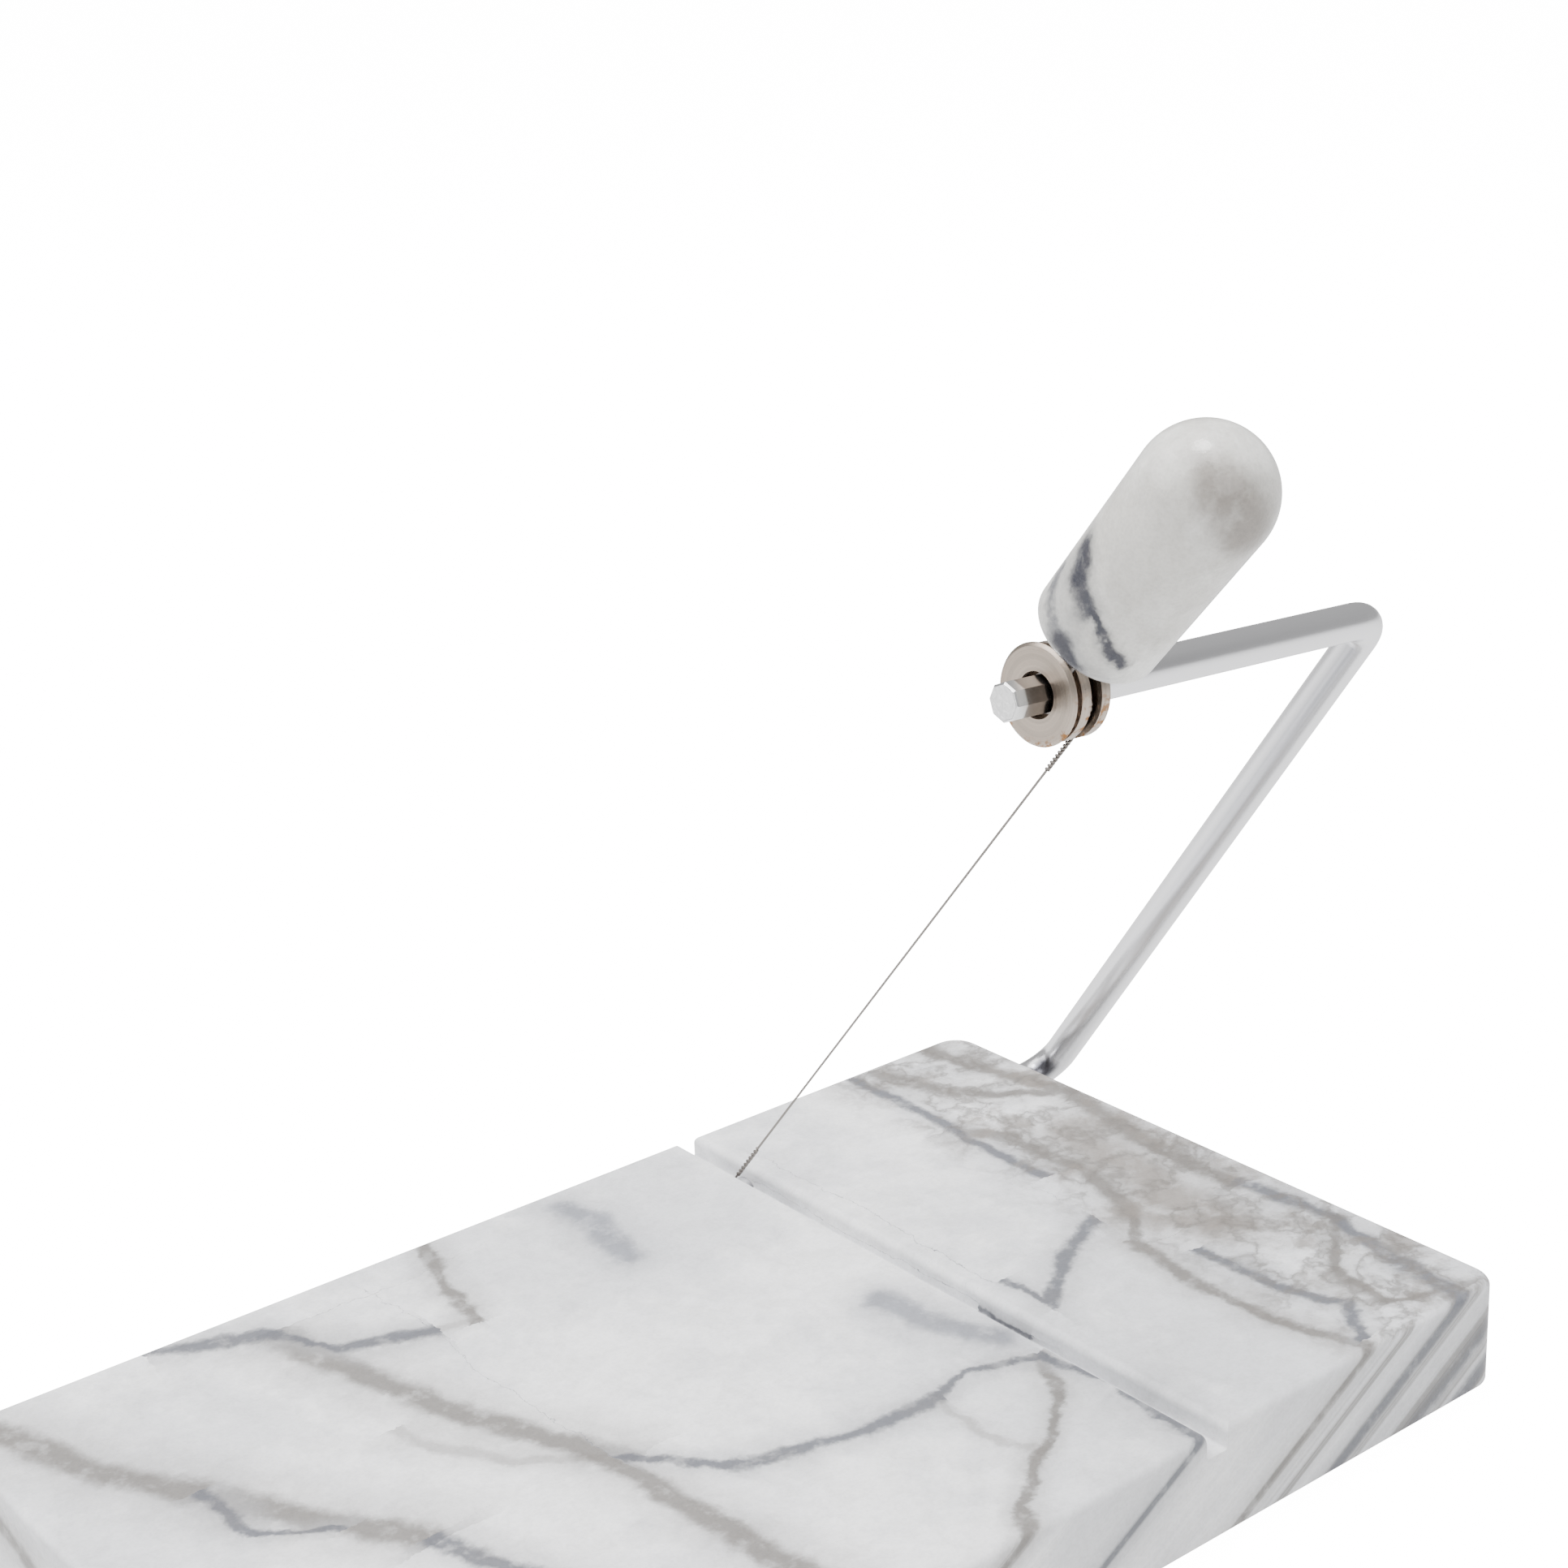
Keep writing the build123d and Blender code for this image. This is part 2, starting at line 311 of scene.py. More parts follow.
class StoneDrift(EffectGroup):
    """Pushes a position about so that veins wander and their edges are ragged."""

    title = "stone drift"
    takes = (("Position", "Vector"), ("Scale", "Float"), ("Amount", "Float"))
    gives = (("Position", "Vector"),)

    def fill(self, wires: Wiring, entry: object, leave: object) -> None:
        """Add a centred noise to the position."""
        push = wires.noise(entry["Position"], entry["Scale"], 3.0, 0.55).outputs["Color"]
        centred = wires.vector("SUBTRACT", push, (0.5, 0.5, 0.5)).outputs["Vector"]
        moved = wires.scaled(centred, entry["Amount"])
        wires.feed(leave["Position"], wires.vector("ADD", entry["Position"], moved).outputs["Vector"])


class VeinRun(EffectGroup):
    """How far a place is from one straight run of a vein, in widths of the vein."""

    title = "vein run"
    takes = (
        ("Position", "Vector"), ("From", "Vector"), ("Along", "Vector"), ("Inverse", "Float"),
        ("Width", "Float"))
    gives = (("Widths", "Float"),)

    def fill(self, wires: Wiring, entry: object, leave: object) -> None:
        """Measure the distance to the run; Inverse is one over the square of the run's length."""
        to_here = wires.vector("SUBTRACT", entry["Position"], entry["From"]).outputs["Vector"]
        shadow = wires.vector("DOT_PRODUCT", to_here, entry["Along"]).outputs["Value"]
        share = wires.maths("MULTIPLY", shadow, entry["Inverse"], clamp=True)
        near = wires.scaled(entry["Along"], share)
        away = wires.vector("DISTANCE", to_here, near).outputs["Value"]
        wires.feed(leave["Widths"], wires.maths("DIVIDE", away, entry["Width"]))


class CrystalGrain(EffectGroup):
    """The sugary grain of marble: tiny glints and pits."""

    title = "crystal grain"
    takes = (("Position", "Vector"), ("Scale", "Float"))
    gives = (("Value", "Float"), ("Height", "Float"))

    def fill(self, wires: Wiring, entry: object, leave: object) -> None:
        """Mix cells and noise at grain size."""
        cells = wires.add("ShaderNodeTexVoronoi", feature="F1")
        wires.feed(cells.inputs["Vector"], entry["Position"])
        wires.feed(cells.inputs["Scale"], entry["Scale"])
        soft = wires.noise(entry["Position"], wires.maths("MULTIPLY", entry["Scale"], 0.4), 4.0, 0.7)
        walls = wires.maths("MULTIPLY", cells.outputs["Distance"], 0.5)
        mixed = wires.maths("ADD", walls, soft.outputs["Fac"])
        wires.feed(leave["Value"], mixed)
        wires.feed(leave["Height"], wires.maths("MULTIPLY", mixed, 0.5))


class FineNet(EffectGroup):
    """A net of hair-thin veins."""

    title = "fine net"
    takes = (("Position", "Vector"), ("Scale", "Float"), ("Thinness", "Float"))
    gives = (("Mask", "Float"),)

    def fill(self, wires: Wiring, entry: object, leave: object) -> None:
        """Keep only where a noise passes through its middle value."""
        field_ = wires.noise(entry["Position"], entry["Scale"], 4.0, 0.6).outputs["Fac"]
        away = wires.maths("ABSOLUTE", wires.maths("SUBTRACT", field_, 0.5))
        lines = wires.maths("SUBTRACT", 1.0, wires.maths("MULTIPLY", away, entry["Thinness"]), clamp=True)
        wires.feed(leave["Mask"], wires.maths("POWER", lines, 2.0))


class HandlingMarks(EffectGroup):
    """Faint smears, dust and scratches from use."""

    title = "handling marks"
    takes = (("Position", "Vector"), ("Scale", "Float"), ("Amount", "Float"))
    gives = (("Roughness", "Float"), ("Height", "Float"))

    def fill(self, wires: Wiring, entry: object, leave: object) -> None:
        """Mix broad smears with streaky fine marks."""
        broad = wires.noise(entry["Position"], entry["Scale"], 2.0, 0.5).outputs["Fac"]
        streak_at = wires.vector("MULTIPLY", entry["Position"], (1.0, 6.0, 2.0)).outputs["Vector"]
        fine = wires.noise(streak_at, wires.maths("MULTIPLY", entry["Scale"], 9.0), 4.0, 0.65).outputs["Fac"]
        both = wires.maths("ADD", wires.maths("MULTIPLY", broad, 0.6), wires.maths("MULTIPLY", fine, 0.4))
        offset = wires.maths("MULTIPLY", wires.maths("SUBTRACT", both, 0.5), entry["Amount"])
        wires.feed(leave["Roughness"], offset)
        wires.feed(leave["Height"], fine)


class TurnedRings(EffectGroup):
    """Concentric tool marks round an axis, and the distance from it."""

    title = "turned rings"
    takes = (("Position", "Vector"), ("Centre", "Vector"), ("Axis", "Vector"), ("Pitch", "Float"))
    gives = (("Height", "Float"), ("Radius", "Float"), ("Depth", "Float"))

    def fill(self, wires: Wiring, entry: object, leave: object) -> None:
        """Split the position into a part along the axis and a part out from it."""
        from_centre = wires.vector("SUBTRACT", entry["Position"], entry["Centre"]).outputs["Vector"]
        depth = wires.vector("DOT_PRODUCT", from_centre, entry["Axis"]).outputs["Value"]
        out = wires.vector("SUBTRACT", from_centre, wires.scaled(entry["Axis"], depth)).outputs["Vector"]
        radius = wires.vector("LENGTH", out).outputs["Value"]
        pair = wires.add("ShaderNodeCombineXYZ")
        wires.feed(pair.inputs[0], radius)
        wires.feed(pair.inputs[1], depth)
        per_metre = wires.maths("DIVIDE", 1.0, entry["Pitch"])
        rings = wires.noise(pair.outputs[0], per_metre, 3.0, 0.7).outputs["Fac"]
        wires.feed(leave["Height"], rings)
        wires.feed(leave["Radius"], radius)
        wires.feed(leave["Depth"], depth)


class Groups:
    """Every effect group, built once."""

    def __init__(self) -> None:
        """Build the groups."""
        self.drift = StoneDrift().tree
        self.vein = VeinRun().tree
        self.grain = CrystalGrain().tree
        self.net = FineNet().tree
        self.marks = HandlingMarks().tree
        self.rings = TurnedRings().tree


class Finish:
    """A material with one Principled shader, and the place on the piece in the model's own frame."""

    def __init__(self, name: str, groups: Groups) -> None:
        """Start an empty material.

        Args:
            name: The material's name.
            groups: The effect groups.
        """
        self.groups = groups
        self.material = bpy.data.materials.new(name)
        self.material.use_nodes = True
        self.wires = Wiring(self.material.node_tree)
        self.shader = self.material.node_tree.nodes["Principled BSDF"]
        self.here = self.wires.add("ShaderNodeTexCoord").outputs["Object"]

    def set(self, **inputs: object) -> None:
        """Set or join the shader's inputs.

        Args:
            inputs: Input names, with underscores for spaces, and their values.
        """
        for name, value in inputs.items():
            self.wires.feed(self.shader.inputs[name.replace("_", " ")], value)

    def grey(self, value: Socket) -> Socket:
        """A grey of the given value.

        Args:
            value: The value's socket.

        Returns:
            The colour's socket.
        """
        node = self.wires.add("ShaderNodeCombineColor")
        for target in node.inputs:
            self.wires.feed(target, value)
        return node.outputs[0]

    def emboss(self, height: Socket, depth: float, below: Socket | None = None) -> Socket:
        """Raise the surface by a height.

        Args:
            height: The height's socket, about 0 to 1.
            depth: What a height of 1 stands for.
            below: The normal of the bump beneath.

        Returns:
            The normal's socket.
        """
        bump = self.wires.add("ShaderNodeBump")
        bump.inputs["Distance"].default_value = depth
        self.wires.feed(bump.inputs["Height"], height)
        if below is not None:
            self.wires.feed(bump.inputs["Normal"], below)
        return bump.outputs["Normal"]


@dataclass(frozen=True)
class Marble:
    """White marble with placed veins.

    Attributes:
        name: The material's name.
        veins: The veins, in the stone's directions.
        origin: Where the stone's directions start, in the model's frame.
        along: The stone's three directions, in the model's frame.
        dip: How far a vein moves along the first direction for each unit down the third.
        flat: Whether the veins run on through the stone along the third direction.
        net: Strength of the fine net of hair veins beyond net_from.
        net_from: Where the fine net begins, along the first direction, in metres.
        span: The length that the veins' curves cover, in metres.
        run_on: How far a vein runs on past its ends, in spans.
        turn_off: Where past its ends a vein's curve stands clear, in spans.
        beyond: How far off the curve stands there, in spans.
        rough: The mean roughness.
        wander: Scales at which the veins wander, each with how far, in millimetres.
        halo: How near a vein's pale shade comes to the vein's own colour.
        white: The stone's white.
        shade: The grey of its clouds.
    """

    name: str
    veins: tuple[Vein, ...]
    origin: Vector
    along: tuple[Vector, Vector, Vector]
    dip: float = 0.0
    flat: bool = True
    net: float = 0.75
    net_from: float = 0.07
    span: float = 0.30
    run_on: float = 0.006
    turn_off: float = 0.011
    beyond: float = 30.0
    rough: float = 0.34
    wander: tuple[tuple[float, float], ...] = ((38.0, 7.0), (260.0, 3.0), (1300.0, 1.0))
    halo: float = 0.68
    white: Colour = (0.90, 0.90, 0.91)
    shade: Colour = (0.62, 0.63, 0.66)

    def make(self, groups: Groups) -> bpy.types.Material:
        """Build the material.

        Args:
            groups: The effect groups.

        Returns:
            The material.
        """
        finish = Finish(self.name, groups)
        wires = finish.wires
        stone = self.stone_position(finish)
        ragged = stone
        for scale, amount in self.wander:
            ragged = wires.place(groups.drift, Position=ragged, Scale=scale, Amount=amount * MM).outputs[0]
        colour = self.cloud(finish, ragged)
        broken = wires.ramp(wires.noise(finish.here, 220.0, 4.0, 0.65).outputs["Fac"], 0.32, 0.50, 0.70, 1.0)
        for tone in Tone:
            widths = self.nearest(finish, ragged, tone)
            if widths is None:
                continue
            look = tone.value
            shade = wires.ramp(widths, look.reach, 0.3, 0.0, look.shade)
            core = wires.ramp(widths, 1.0, 0.25, 0.0, look.core)
            pairs = zip(look.colour, self.white)
            pale = tuple(self.halo * dark + (1 - self.halo) * white for dark, white in pairs)
            colour = wires.blend(wires.maths("MULTIPLY", shade, broken), colour, pale)
            colour = wires.blend(wires.maths("MULTIPLY", core, broken), colour, look.colour)
        colour = self.hairlines(finish, stone, ragged, colour)
        grain = wires.place(groups.grain, Position=finish.here, Scale=1900.0)
        light = wires.ramp(grain.outputs["Value"], 0.45, 1.0, 0.93, 1.04)
        colour = wires.blend(1.0, colour, finish.grey(light), "MULTIPLY")
        marks = wires.place(groups.marks, Position=finish.here, Scale=45.0, Amount=0.22)
        rough = wires.maths("ADD", self.rough, marks.outputs["Roughness"])
        normal = finish.emboss(grain.outputs["Height"], 0.06 * MM)
        finish.set(Base_Color=colour, Roughness=rough, Normal=normal, Specular_IOR_Level=0.45)
        finish.set(Subsurface_Weight=0.06, Subsurface_Radius=(0.004, 0.004, 0.004), Subsurface_Scale=1.0)
        return finish.material

    def stone_position(self, finish: Finish) -> Socket:
        """The place in the stone's own directions, with the veins' dip taken out.

        Args:
            finish: The material so far.

        Returns:
            The position's socket.
        """
        wires = finish.wires
        local = wires.vector("SUBTRACT", finish.here, tuple(self.origin)).outputs["Vector"]
        parts = [wires.vector("DOT_PRODUCT", local, tuple(one)).outputs["Value"] for one in self.along]
        parts[0] = wires.maths("SUBTRACT", parts[0], wires.maths("MULTIPLY", parts[2], self.dip))
        if self.flat:
            parts[2] = 0.0
        node = wires.add("ShaderNodeCombineXYZ")
        for target, part in zip(node.inputs, parts):
            wires.feed(target, part)
        return node.outputs[0]

    def cloud(self, finish: Finish, place: Socket) -> Socket:
        """The white of the stone with broad grey clouds.

        Args:
            finish: The material so far.
            place: The wandering position.

        Returns:
            The colour's socket.
        """
        wires = finish.wires
        broad = wires.noise(finish.here, 22.0, 3.0, 0.5).outputs["Fac"]
        fine = wires.noise(place, 130.0, 4.0, 0.6).outputs["Fac"]
        both = wires.maths("ADD", wires.maths("MULTIPLY", broad, 0.65), wires.maths("MULTIPLY", fine, 0.35))
        return wires.blend(wires.ramp(both, 0.42, 0.60, 0.0, 0.70), self.white, self.shade)

    def nearest(self, finish: Finish, place: Socket, tone: Tone) -> Socket | None:
        """The distance to the nearest vein of one family, in widths of that vein.

        Args:
            finish: The material so far.
            place: The wandering position.
            tone: The family.

        Returns:
            The distance's socket, or None where the stone has no such vein.
        """
        wires = finish.wires
        distances = []
        shares = self.shares(wires, place)
        for vein in (one for one in self.veins if one.tone is tone):
            if len(vein.points[0]) == 2:
                distances.append(self.bent(wires, shares, vein))
                continue
            ends = [Vector(point) * MM for point in vein.points]
            for start, stop in zip(ends, ends[1:]):
                along = stop - start
                run = wires.place(
                    finish.groups.vein, Position=place, From=tuple(start), Along=tuple(along),
                    Inverse=1.0 / along.length_squared, Width=vein.width * MM)
                distances.append(run.outputs["Widths"])
        nearest = None
        for one in distances:
            nearest = one if nearest is None else wires.maths("MINIMUM", nearest, one)
        return nearest

    def shares(self, wires: Wiring, place: Socket) -> tuple[Socket, Socket]:
        """The first two directions as shares of the slab's span, 0.5 in the middle.

        Args:
            wires: The material's wiring.
            place: The wandering position.

        Returns:
            The two shares.
        """
        split = wires.add("ShaderNodeSeparateXYZ")
        wires.feed(split.inputs[0], place)
        first, second = (wires.maths("MULTIPLY_ADD", one, 1 / self.span, 0.5) for one in split.outputs[:2])
        return first, second

    def bent(self, wires: Wiring, shares: tuple[Socket, Socket], vein: Vein) -> Socket:
        """The distance to a vein that runs mostly across one direction, as one curve.

        Args:
            wires: The material's wiring.
            shares: The place as shares of the slab's span.
            vein: The vein.

        Returns:
            The distance, in widths of the vein.
        """
        spans = [max(places) - min(places) for places in zip(*vein.points)]
        run, side = (0, 1) if spans[0] > spans[1] else (1, 0)
        scale = MM / self.span
        knots = sorted((0.5 + point[run] * scale, 0.5 + point[side] * scale) for point in vein.points)
        curve = wires.add("ShaderNodeFloatCurve")
        wires.feed(curve.inputs["Value"], shares[run])
        line = curve.mapping
        line.use_clip = False
        points = line.curves[0].points
        points[0].location = (knots[0][0] - self.turn_off, self.beyond)
        points[1].location = (knots[-1][0] + self.turn_off, self.beyond)
        first, last = (knots[0][0] - self.run_on, knots[0][1]), (knots[-1][0] + self.run_on, knots[-1][1])
        for knot in (first, *knots, last):
            points.new(*knot).handle_type = "VECTOR"
        line.update()
        away = wires.maths("ABSOLUTE", wires.maths("SUBTRACT", shares[side], curve.outputs[0]))
        slope = math.hypot(spans[run], spans[side]) / spans[run]
        return wires.maths("MULTIPLY", away, self.span / (vein.width * MM * slope))

    def hairlines(self, finish: Finish, stone: Socket, place: Socket, colour: Socket) -> Socket:
        """Fine brownish net, strongest towards one end of the stone.

        Args:
            finish: The material so far.
            stone: The place in the stone's directions.
            place: The wandering position.
            colour: The colour so far.

        Returns:
            The colour's socket.
        """
        wires = finish.wires
        net = wires.place(finish.groups.net, Position=place, Scale=75.0, Thinness=11.0).outputs["Mask"]
        split = wires.add("ShaderNodeSeparateXYZ")
        wires.feed(split.inputs[0], stone)
        reach = wires.ramp(split.outputs[0], self.net_from - 8 * MM, self.net_from + 8 * MM, 0.12, 1.0)
        mottle = wires.ramp(wires.noise(place, 85.0, 5.0, 0.68).outputs["Fac"], 0.46, 0.66)
        mottle = wires.maths("MULTIPLY", wires.maths("MULTIPLY", mottle, reach), self.net)
        colour = wires.blend(mottle, colour, Tone.EARTH.value.colour)
        amount = wires.maths("MULTIPLY", wires.maths("MULTIPLY", net, reach), self.net)
        return wires.blend(amount, colour, Tone.TAUPE.value.colour)


@dataclass(frozen=True)
class PlainFinish:
    """A finish that is even but for handling marks.

    Attributes:
        name: The material's name.
        colour: The base colour.
        metallic: 1 for bare metal, 0 for the rest.
        rough: The mean roughness.
        wear: How far the roughness wanders.
        pits: Depth of the surface's fine texture, in millimetres.
    """

    name: str
    colour: Colour
    metallic: float
    rough: float
    wear: float = 0.1
    pits: float = 0.01

    def make(self, groups: Groups) -> bpy.types.Material:
        """Build the material.

        Args:
            groups: The effect groups.

        Returns:
            The material.
        """
        finish = Finish(self.name, groups)
        marks = finish.wires.place(groups.marks, Position=finish.here, Scale=160.0, Amount=self.wear)
        rough = finish.wires.maths("ADD", self.rough, marks.outputs["Roughness"])
        dirt = finish.wires.ramp(marks.outputs["Height"], 0.25, 0.7, 0.0, 0.22)
        dark = tuple(0.72 * part for part in self.colour)
        colour = finish.wires.blend(dirt, self.colour, dark)
        finish.set(Base_Color=colour, Roughness=rough, Metallic=self.metallic)
        finish.set(Normal=finish.emboss(marks.outputs["Height"], self.pits * MM))
        return finish.material


@dataclass(frozen=True)
class BrightRod:
    """Polished rod with a sheared, crushed end, and a painted reflection in its colour.

    Attributes:
        tip: The centre of the end face.
        axis: The direction from the end face into the rod.
        colour: The polished metal where it is seen at a slant, with a painted bright reflection towards the
            rod's edges.
        core: A painted dark reflection, where the rod faces the eye.
        facet: The colour of the flats behind the end.
        lip: The colour of the rim round the end.
        end: The colour of the crushed end face.
        rough: The mean roughness.
        end_rough: How much rougher the end face is.
    """

    tip: Vector
    axis: Vector
    colour: Colour = (0.84, 0.84, 0.86)
    core: Colour = (0.12, 0.12, 0.14)
    facet: Colour = (0.17, 0.15, 0.13)
    lip: Colour = (0.80, 0.80, 0.80)
    end: Colour = (0.97, 0.97, 0.97)
    rough: float = 0.24
    end_rough: float = 0.3

    def make(self, groups: Groups) -> bpy.types.Material:
        """Build the material.

        Args:
            groups: The effect groups.

        Returns:
            The material.
        """
        finish = Finish("bright rod", groups)
        wires = finish.wires
        marks = wires.place(groups.marks, Position=finish.here, Scale=70.0, Amount=0.12)
        turned = wires.place(
            groups.rings, Position=finish.here, Centre=tuple(self.tip), Axis=tuple(self.axis), Pitch=2.0 * MM)
        away = wires.vector("DISTANCE", finish.here, tuple(self.tip)).outputs["Value"]
        facets = wires.ramp(away, 9.2 * MM, 8.4 * MM)
        end = wires.ramp(turned.outputs["Depth"], 0.30 * MM, 0.05 * MM)
        end = wires.maths("MULTIPLY", end, wires.ramp(away, 5.0 * MM, 4.0 * MM))
        lip = wires.maths("MULTIPLY", wires.ramp(turned.outputs["Depth"], 2.4 * MM, 1.9 * MM), facets)
        # Painted reflection: the base colour goes dark where the rod faces the eye and stays bright towards
        # its edges.
        facing = wires.add("ShaderNodeLayerWeight")
        facing.inputs["Blend"].default_value = 0.5
        core = wires.ramp(facing.outputs["Facing"], 0.05, 0.42, 0.95, 0.0)
        colour = wires.blend(core, self.colour, self.core)
        colour = wires.blend(wires.maths("MULTIPLY", facets, 0.85), colour, self.facet)
        colour = wires.blend(lip, colour, self.lip)
        colour = wires.blend(end, colour, self.end)
        cells = wires.add("ShaderNodeTexVoronoi", feature="DISTANCE_TO_EDGE")
        wires.feed(cells.inputs["Vector"], finish.here)
        cells.inputs["Scale"].default_value = 900.0
        crushed = wires.noise(finish.here, 1400.0, 5.0, 0.7).outputs["Fac"]
        crust = wires.maths("ADD", wires.maths("MULTIPLY", cells.outputs["Distance"], 2.0), crushed)
        worn = wires.maths("ADD", self.rough, marks.outputs["Roughness"])
        rough = wires.maths("ADD", worn, wires.maths("MULTIPLY", end, self.end_rough))
        normal = finish.emboss(wires.maths("MULTIPLY", crust, end), 0.35 * MM)
        normal = finish.emboss(marks.outputs["Height"], 0.012 * MM, normal)
        metal = wires.maths("SUBTRACT", 1.0, wires.maths("MULTIPLY", end, 0.7))
        finish.set(Base_Color=colour, Roughness=rough, Metallic=metal, Normal=normal)
        return finish.material


@dataclass(frozen=True)
class TurnedNickel:
    """Warm nickel plate over turned steel, with rust at the rims and painted shade in the grooves.

    Attributes:
        centre: A point on the wheel's axis.
        axis: The wheel's axis, from its front face backwards.
        rim: The wheel's radius.
        colour: The nickel's colour.
        groove: The painted shade in the grooves.
        rust: The rust's colour.
        rough: The mean roughness.
        rust_rough: How much rougher rust is.
        pitch: The width of one turning mark.
    """

    centre: Vector
    axis: Vector
    rim: float
    colour: Colour = (0.45, 0.385, 0.325)
    groove: Colour = (0.075, 0.050, 0.032)
    rust: Colour = (0.30, 0.135, 0.035)
    rough: float = 0.30
    rust_rough: float = 0.4
    pitch: float = 0.5 * MM

    def make(self, groups: Groups) -> bpy.types.Material:
        """Build the material.

        Args:
            groups: The effect groups.

        Returns:
            The material.
        """
        finish = Finish("turned nickel", groups)
        wires = finish.wires
        turned = wires.place(
            groups.rings, Position=finish.here, Centre=tuple(self.centre), Axis=tuple(self.axis),
            Pitch=self.pitch)
        marks = wires.place(groups.marks, Position=finish.here, Scale=300.0, Amount=0.2)
        radius = turned.outputs["Radius"]
        # Painted shade: the recessed grooves inside the rim are coloured dark brown.
        sunk = wires.ramp(radius, self.rim - 0.9 * MM, self.rim - 1.4 * MM)
        inside = wires.ramp(turned.outputs["Depth"], -4.2 * MM, -3.9 * MM)
        groove = wires.maths("MULTIPLY", sunk, inside)
        edge = wires.ramp(radius, self.rim - 1.5 * MM, self.rim - 0.2 * MM)
        blotch = wires.ramp(wires.noise(finish.here, 520.0, 4.0, 0.7).outputs["Fac"], 0.50, 0.60)
        low = wires.add("ShaderNodeSeparateXYZ")
        wires.feed(low.inputs[0], wires.vector("SUBTRACT", finish.here, tuple(self.centre)).outputs["Vector"])
        under = wires.ramp(low.outputs[2], 2.5 * MM, -3.0 * MM, 0.12, 1.0)
        rust = wires.maths("MULTIPLY", wires.maths("MULTIPLY", blotch, edge), under)
        shade = wires.ramp(turned.outputs["Height"], 0.3, 0.7, 0.86, 1.06)
        colour = wires.blend(1.0, self.colour, finish.grey(shade), "MULTIPLY")
        colour = wires.blend(wires.maths("MULTIPLY", groove, 0.85), colour, self.groove)
        colour = wires.blend(rust, colour, self.rust)
        worn = wires.maths("ADD", self.rough, marks.outputs["Roughness"])
        rough = wires.maths("ADD", worn, wires.maths("MULTIPLY", rust, self.rust_rough))
        metal = wires.maths("SUBTRACT", 1.0, wires.maths("MULTIPLY", rust, 0.8))
        normal = finish.emboss(turned.outputs["Height"], 0.05 * MM)
        normal = finish.emboss(marks.outputs["Height"], 0.012 * MM, normal)
        finish.set(Base_Color=colour, Roughness=rough, Metallic=metal, Normal=normal)
        return finish.material


BOARD_VEINS = (
    Vein(((-68, 64), (-51, 54), (-46, 44), (-33, 37)), 2.3, Tone.SLATE),
    Vein(((-51, 54), (-45, 28), (-39, 9), (-31, -10)), 4.0, Tone.TAUPE),
    Vein(((-31, -10), (-20, -23), (-4, -28), (13, -30)), 2.0, Tone.SLATE),
    Vein(((13, -30), (20, -27), (33, -31)), 1.4, Tone.SLATE),
    Vein(((-34, -4), (-31, -24), (-29, -45), (-27, -68)), 3.3, Tone.TAUPE),
    Vein(((-101, 70), (-90, 42), (-78, 18), (-61, -9)), 4.2, Tone.TAUPE),
    Vein(((-61, -9), (-52, -38), (-44, -68)), 2.5, Tone.SLATE),
    Vein(((-80, 22), (-80, 10), (-69, 2)), 1.7, Tone.SLATE),
    Vein(((-17, 66), (-23, 48), (-26, 35)), 2.0, Tone.TAUPE),
    Vein(((-26, 35), (-40, 39)), 1.4, Tone.FAINT),
    Vein(((-51, 16), (-44, 0), (-31, -10)), 1.9, Tone.FAINT),
    Vein(((33, -31), (26, -42), (14, -50), (2, -59), (-4, -70)), 1.7, Tone.TAUPE),
    Vein(((13, -30), (11, -42), (14, -50)), 1.4, Tone.FAINT),
    Vein(((33, -31), (35, -45), (33, -68)), 1.4, Tone.SLATE),
    Vein(((68, -6), (60, -10), (54, -14), (44, -22)), 2.2, Tone.SLATE),
    Vein(((44, -22), (44, -13)), 1.2, Tone.SLATE),
    Vein(((74, 66), (73, 33), (73, 12)), 2.0, Tone.SLATE),
    Vein(((79, 60), (82, 47), (89, 38), (100, 30)), 2.8, Tone.TAUPE),
    Vein(((73, 33), (79, 25), (79, 8), (76, -8), (68, -17)), 2.8, Tone.TAUPE),
    Vein(((92, 66), (96, 41), (99, 31), (95, 9), (95, -14)), 3.1, Tone.TAUPE),
    Vein(((95, -14), (97, -33), (94, -50), (91, -68)), 2.8, Tone.SLATE),
    Vein(((68, -17), (66, -33), (66, -47), (70, -60), (72, -70)), 2.2, Tone.TAUPE),
    Vein(((74, -26), (74, -40), (78, -51), (72, -60)), 1.9, Tone.SLATE),
    Vein(((97, -33), (84, -43), (82, -55), (95, -60)), 2.0, Tone.TAUPE),
    Vein(((6, 57, 0), (7, 50, 0), (5, 36, 0)), 4.0, Tone.SMOKE),
    Vein(((26, -3, 0), (27, -12, 0), (32, -23, 0)), 4.5, Tone.SMOKE),
    Vein(((89, 18, 0), (86, 2, 0), (83, -21, 0)), 8.0, Tone.EARTH),
    Vein(((36, -47, 0), (34, -64, 0)), 2.8, Tone.SLATE),
    Vein(((86, -80, 0), (93, -62, 0)), 2.6, Tone.SLATE),
    Vein(((107, -80, 0), (110, -58, 0)), 5.5, Tone.SLATE),
    Vein(((121, -80, 0), (124, -40, 0)), 4.6, Tone.SLATE),
    Vein(((74, -8, 0), (84, -24, 0)), 4.0, Tone.EARTH),
    Vein(((104, 48), (118, 22), (136, -8)), 3.4, Tone.TAUPE),
    Vein(((106, -20), (120, -34), (138, -46)), 2.2, Tone.SLATE),
)

